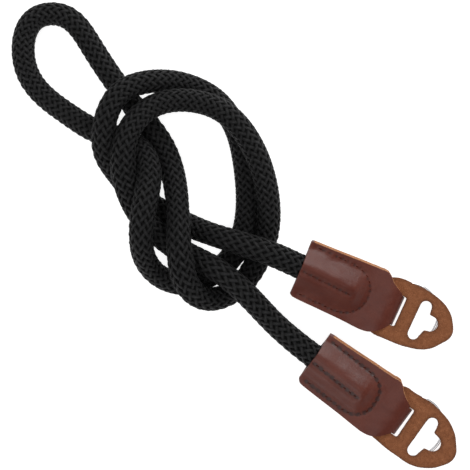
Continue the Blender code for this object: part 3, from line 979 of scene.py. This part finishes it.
def stitch_rows(end):
    """The row round the rope's end and the row along its middle."""
    turned = np.linspace(pi / 2, -pi / 2, OVAL_POINTS)
    ahead = np.abs(np.cos(turned)) ** OVAL_FULLNESS[end]
    aside = np.sign(turned) * np.abs(np.sin(turned)) ** OVAL_FULLNESS[end]
    oval = np.stack([OVAL_START + OVAL_REACH * ahead, OVAL_ASIDE[end] + OVAL_HALF[end] * aside], axis=1)
    left, right = LOOP_SIDES[end]
    loop = np.vstack([(LOOP_START, left), oval, (LOOP_START, right)])
    return loop, np.array(MIDDLE_ROW[end])


def stitch_holes(end):
    """Needle holes along each row, in even steps."""
    rows = []
    for line in stitch_rows(end):
        steps = round(along_line(line)[-1] / STITCH_PITCH)
        rows.append(evenly(line, steps + 1))
    return rows


def swelling(end, u, v, top):
    """How far the ply stands off its flat flap: over the rope, and in at the stitches."""
    _, _, bulge = cover_sizes(u)
    roof = POCKET_R - FLANK_SLOPE * (np.sqrt(v**2 + RIDGE_R**2) - RIDGE_R)
    height = bulge * FOOT_R * np.log1p(np.exp(roof / FOOT_R))
    (first, aside_first), (last, aside_last) = MIDDLE_ROW[end]
    groove_v = np.interp(u, (first, last), (aside_first, aside_last))
    sewn = fade((last + GROOVE_FADE[0], last + GROOVE_FADE[1]), u)
    groove = GROOVE_DEPTH[end] * sewn * np.exp(-(((v - groove_v) / GROOVE_HALF[end]) ** 2))
    return height - groove * (1.0 if top else GROOVE_UNDERSIDE)


def lip_at(end, u, v):
    """How far the leather reaches out over the rope, near its mouth."""
    return (MOUTH_LIP[end] + MOUTH_SKEW[end] * v) * fade(LIP_FADE, u)


def dent(u, v, middle_u, middle_v, radius):
    """A soft round dent, which is 1 in its middle."""
    return np.exp(-((u - middle_u) ** 2 + (v - middle_v) ** 2) / radius**2)


def puckers(u, v, holes):
    """How much the thread pulls the leather in, as a share of PUCKER_DEPTH."""
    total = np.zeros_like(u)
    for row in holes:
        for hole_u, hole_v in row:
            total += dent(u, v, hole_u, hole_v, PUCKER_HOLE_R)
        for (u0, v0), (u1, v1) in zip(row, row[1:]):
            total += PUCKER_UNDER_THREAD * dent(u, v, (u0 + u1) / 2, (v0 + v1) / 2, PUCKER_THREAD_R)
    return np.minimum(total, PUCKER_MOST)


def creases(u, v, seed):
    """Soft waves and small wrinkles of worn leather."""
    total = np.zeros_like(u)
    for i in range(len(u)):
        spot = Vector((u[i] / MM * CREASES_ALONG, v[i] / MM * CREASES_ACROSS, seed))
        wrinkle = noise.noise(spot * WRINKLES_TO_A_WAVE)
        total[i] = WAVE_HEIGHT * noise.noise(spot) + WRINKLE_HEIGHT * wrinkle
    return total * MM


def shape_cover(end, made):
    """Bends the flat strip round the rope and the pad, and gives each point's place on it."""
    line = cover_strip_line(end)
    nose = int(np.argmax(line[:, 0]))
    holes = stitch_holes(end)
    flat = np.array([(vert.co.x, vert.co.y) for vert in made.verts])
    station = np.rint((flat[:, 0] + 1) / 2 * COVER_STEPS_LONG).astype(int)
    u, w = line[station, 0], line[station, 1]
    on_top = station < nose
    left, right, _ = cover_sizes(u)
    left = left + np.where(on_top, 0.0, PLY_OFFSET[end]) * fade(OFFSET_FADE, u)
    left = left - LEFT_TRIM[end] * fade(TRIM_FADE, u)
    right = right - MOUTH_CORNER[end] * np.exp(-u / CORNER_REACH)
    v = np.where(flat[:, 1] > 0, flat[:, 1] * left, flat[:, 1] * right)
    relief = np.where(on_top, swelling(end, u, v, True), swelling(end, u, v, False))
    sewn = puckers(u, v, holes) * fade(PUCKER_FADE, u)
    relief -= PUCKER_DEPTH * sewn * np.where(on_top, 1.0, PUCKER_UNDERSIDE)
    wave = creases(u, v, CREASE_SEED[end]) * np.where(on_top, 1.0, 0.0) * fade(CREASE_FADE, u)
    height = w + np.where(on_top, 1.0, -1.0) * relief + wave
    height = np.where(on_top, height, np.maximum(height, FLOOR_CLEAR))
    for vert, place in zip(made.verts, zip(u - lip_at(end, u, v), v, height)):
        vert.co = place
    return u, flat[:, 1], on_top, sewn


def make_cover(end, grain_side, flesh_side, cut_edge):
    made = bmesh.new()
    bmesh.ops.create_grid(made, x_segments=COVER_STEPS_LONG, y_segments=COVER_STEPS_WIDE, size=1.0)
    u, share, on_top, sewn = shape_cover(end, made)
    mesh = bpy.data.meshes.new("cover")
    made.to_mesh(mesh)
    made.free()
    skin = new_object("cover", mesh)
    for _ in range(3):
        mesh.materials.append(grain_side)
    wall = skin.modifiers.new("wall", "SOLIDIFY")
    wall.thickness = COVER_WALL
    wall.offset = -1.0
    wall.use_even_offset = True
    wall.material_offset = 1
    wall.material_offset_rim = 2
    mesh = mesh_of("cover_leather_" + end, skin)
    lean = EDGE_SLANT * smoothstep(EDGE_SLANT_FROM, 1.0, share) * fade(EDGE_SLANT_FADE, u)
    for i, out in enumerate(lean):
        lower = i + len(lean) if on_top[i] else i
        mesh.vertices[lower].co.y += out
    # Darker round the thread, as deep as the thread pulls the leather in
    darkening = np.zeros(len(mesh.vertices))
    darkening[: len(sewn)] = STITCH_DARKENING[end] * sewn
    note_at_points(mesh, "near_stitch", darkening)
    for face in mesh.polygons:
        # The edge at the mouth is dyed as the grain side is
        if face.material_index == 2 and face.center.x < MOUTH_EDGE:
            face.material_index = 0
    mesh.transform(end_place(end))
    mesh.shade_smooth()
    cover = add_piece(
        "cover_leather_" + end, mesh, "cover_" + end, [grain_side, flesh_side, cut_edge]
    )
    rounding = cover.modifiers.new("rounding", "BEVEL")
    rounding.width = EDGE_ROUND
    rounding.segments = 2
    rounding.limit_method = "ANGLE"
    rounding.angle_limit = EDGE_ANGLE


def cover_top_point(end, line, u, v, holes, top):
    """A point on the cover's outer side, over or under its mouth's axis."""
    nose = int(np.argmax(line[:, 0]))
    ply = line[:nose] if top else line[nose:][::-1]
    flap = float(np.interp(u, ply[:, 0], ply[:, 1]))
    spot_u, spot_v = np.array([u]), np.array([v])
    pulled = THREAD_PULL * PUCKER_DEPTH * puckers(spot_u, spot_v, holes)[0]
    relief = swelling(end, spot_u, spot_v, top)[0] - pulled
    return Vector((u - lip_at(end, u, v), v, flap + relief if top else flap - relief))


def make_stitches(end, thread):
    """One bead of thread between each two holes, on both sides of the cover."""
    line = cover_strip_line(end)
    holes = stitch_holes(end)
    made = bmesh.new()
    for top in (True, False):
        for row in holes:
            for (u0, v0), (u1, v1) in zip(row, row[1:]):
                stray = STITCH_STRAY * noise.noise_vector(Vector((u0, v0, 0.0)) / MM * STRAY_SCALE)
                start = cover_top_point(end, line, u0, v0 + stray.x, holes, top)
                finish = cover_top_point(end, line, u1, v1 + stray.y, holes, top)
                reach = finish - start
                lean = STITCH_SLANT + STITCH_SLANT_VARIES * noise.noise(start / MM)
                turn = reach.to_track_quat("X", "Z").to_matrix().to_4x4() @ Matrix.Rotation(lean, 4, "Z")
                half_long = reach.length * (BEAD_HALF + BEAD_VARIES * stray.z / MM)
                size = Matrix.Diagonal((half_long, THREAD_HALF_WIDE, THREAD_HALF_THICK, 1.0))
                sink = Vector((0.0, 0.0, -STITCH_SINK[end] if top else STITCH_SINK[end]))
                place = Matrix.Translation((start + finish) / 2 + sink) @ turn @ size
                bmesh.ops.create_uvsphere(made, u_segments=8, v_segments=6, radius=1.0, matrix=place)
    mesh = bpy.data.meshes.new("cover_stitches_" + end)
    made.to_mesh(mesh)
    made.free()
    mesh.transform(end_place(end))
    mesh.shade_smooth()
    add_piece("cover_stitches_" + end, mesh, "cover_" + end, [thread])


# Pads and rings


def arc(u, v, radius, start, sweep):
    """Points round the middle (u, v), from the start angle on."""
    angles = np.linspace(start, start + sweep, ARC_STEPS + 1)
    return [(u + radius * cos(angle), v + radius * sin(angle)) for angle in angles]


def slit_outline(end):
    back, front, half = SLIT[end]
    points = []
    for quarter, (u_side, v_side) in enumerate(((1, 1), (-1, 1), (-1, -1), (1, -1))):
        edge = front if u_side > 0 else back
        u = edge - u_side * SLIT_CORNER_R
        v = v_side * (half - SLIT_CORNER_R)
        points += arc(u, v, SLIT_CORNER_R, quarter * pi / 2, pi / 2)
    return points


def hole_outline(end):
    one_end, lobe, other_end = HOLE_ROUNDS[end]
    one_neck, other_neck = HOLE_NECKS[end]
    points = arc(*one_end, pi, -pi) + [one_neck]
    points += arc(*lobe, pi / 2, -pi) + [other_neck]
    return points + arc(*other_end, 0.0, -pi)


def add_curved_outline(curve, outline):
    """A closed smooth line through the points."""
    spline = curve.splines.new("BEZIER")
    spline.bezier_points.add(len(outline) - 1)
    for point, (u, v) in zip(spline.bezier_points, outline):
        point.co = (u * MM, v * MM, 0.0)
        point.handle_left_type = point.handle_right_type = "AUTO"
    spline.use_cyclic_u = True
    spline.resolution_u = PAD_CURVE_STEPS


def add_cut_outline(curve, outline):
    """A closed line straight from point to point, with more points on long stretches."""
    corners = np.array(outline)
    close = []
    for start, end in zip(corners, np.roll(corners, -1, axis=0)):
        steps = int(np.linalg.norm(end - start) // CUT_STEP) + 1
        close += [start + (end - start) * step / steps for step in range(steps)]
    spline = curve.splines.new("POLY")
    spline.points.add(len(close) - 1)
    for point, (u, v) in zip(spline.points, close):
        point.co = (u * MM, v * MM, 0.0, 1.0)
    spline.use_cyclic_u = True


def make_pad(end, suede):
    curve = bpy.data.curves.new("pad", "CURVE")
    curve.dimensions = "2D"
    curve.fill_mode = "BOTH"
    curve.extrude = PAD_T / 2
    add_curved_outline(curve, PAD_OUTLINE[end])
    add_cut_outline(curve, slit_outline(end))
    add_cut_outline(curve, hole_outline(end))
    plate = mesh_of("pad", new_object("pad", curve))
    merge_points(plate, 0.01 * MM)
    rims = [vert.co.copy() for vert in plate.vertices]
    solid = new_object("pad", plate)
    fine = solid.modifiers.new("fine", "REMESH")
    fine.mode = "VOXEL"
    fine.voxel_size = PAD_VOXEL
    mesh = mesh_of("pad_leather_" + end, solid)
    rim_tree = KDTree(len(rims))
    for i, rim in enumerate(rims):
        rim_tree.insert((rim.x, rim.y, 0.0), i)
    rim_tree.balance()
    seed = Vector((PAD_SEED[end], 0.0, 0.0))
    near = np.zeros(len(mesh.vertices))
    for vert in mesh.vertices:
        spot = Vector((vert.co.x, vert.co.y, 0.0))
        _, _, away = rim_tree.find(spot)
        near[vert.index] = exp(-away / NAP_REACH)
        rough = noise.noise_vector(vert.co / MM * ROUGH_SCALE + seed)
        hair = noise.noise_vector(vert.co / MM * HAIR_SCALE + seed)
        hairy = HAIR_HEIGHT + HAIR_AT_EDGE * near[vert.index]
        vert.co += rough * ROUGH_HEIGHT * MM + hair * hairy * MM
    note_at_points(mesh, "near_edge", near)
    mesh.transform(pad_place(end))
    mesh.shade_smooth()
    add_piece("pad_leather_" + end, mesh, "pad_" + end, [suede])


def make_ring(end, nickel):
    """Two turns of wire with a step from the lower turn to the upper one."""
    first_turn = tau - RING_STEP_TURN
    whole = 2 * tau - RING_STEP_TURN - 2 * GAP / RING_R
    turned = np.linspace(0.0, whole, RING_STEPS)
    rise = smoothstep(first_turn, tau, turned) - 0.5
    angle = RING_START + turned
    line = np.stack([RING_R * np.cos(angle), RING_R * np.sin(angle), RING_PITCH * rise], axis=1)
    source = wire_object("ring", [line], RING_WIRE / 2, RING_ROUNDNESS)
    mesh = mesh_of("split_ring_" + end, source)
    merge_points(mesh, 0.001 * MM)
    mesh.transform(pad_place(end, RING_AHEAD[end], RING_ASIDE, RING_Z))
    mesh.shade_smooth()
    mesh.set_sharp_from_angle(angle=EDGE_ANGLE)
    add_piece("split_ring_" + end, mesh, "ring_" + end, [nickel])


def main():
    noise.seed_set(NOISE_SEED)
    bpy.context.scene.view_settings.view_transform = "Standard"
    make_camera()
    make_rope()
    make_floor()
    make_lights()
    mottle, grain = make_mottle_group(), make_grain_group()
    grain_side = make_cover_finish(mottle, grain)
    cut_edge = make_edge_finish(grain)
    suede = make_suede_finish(mottle, grain)
    thread = make_thread_finish()
    nickel = make_ring_finish()
    for end in ENDS:
        make_cover(end, grain_side, suede, cut_edge)
        make_stitches(end, thread)
        make_pad(end, suede)
        make_ring(end, nickel)


main()
